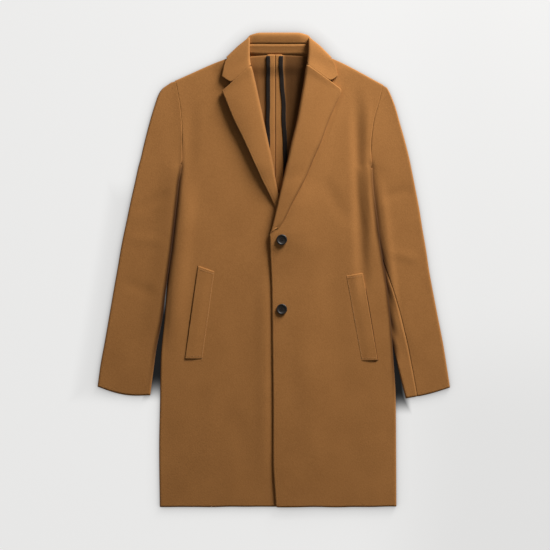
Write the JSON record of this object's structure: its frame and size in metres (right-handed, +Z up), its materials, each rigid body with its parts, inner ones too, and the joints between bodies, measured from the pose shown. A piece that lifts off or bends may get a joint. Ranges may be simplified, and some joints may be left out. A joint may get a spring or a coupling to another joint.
{
  "type": "single-breasted wool overcoat laid flat",
  "caption": "Notch-lapel overcoat of camel wool, buttoned and laid flat on its back, with set-in sleeves, slanted welt pockets and a turned-down collar.",
  "frame": {"origin": "middle of the coat's outline, on the flat surface that it lies on", "axes": "+X toward the wearer's left sleeve, +Y from the hem toward the collar, +Z up, away from the surface"},
  "size_m": [0.752, 1.0095, 0.0241],
  "materials": {
    "wool": "matt brushed camel wool, soft short nap",
    "tape": "dark woven seam binding",
    "horn": "dark brown horn look, satin",
    "thread": "dark button thread"
  },
  "bodies": {
    "root": {"back_left": "wool", "back_right": "wool", "front_left": "wool", "front_right": "wool", "facing_left": "wool", "facing_right": "wool", "top_sleeve_left": "wool", "top_sleeve_right": "wool", "under_sleeve_left": "wool", "under_sleeve_right": "wool", "upper_collar": "wool", "under_collar": "wool", "collar_stand": "wool", "welt_left": "wool", "welt_right": "wool", "seam_tape_left": "tape", "seam_tape_right": "tape", "button_upper": "horn", "button_lower": "horn", "shank_upper": "thread", "shank_lower": "thread"}
  },
  "joints": []
}
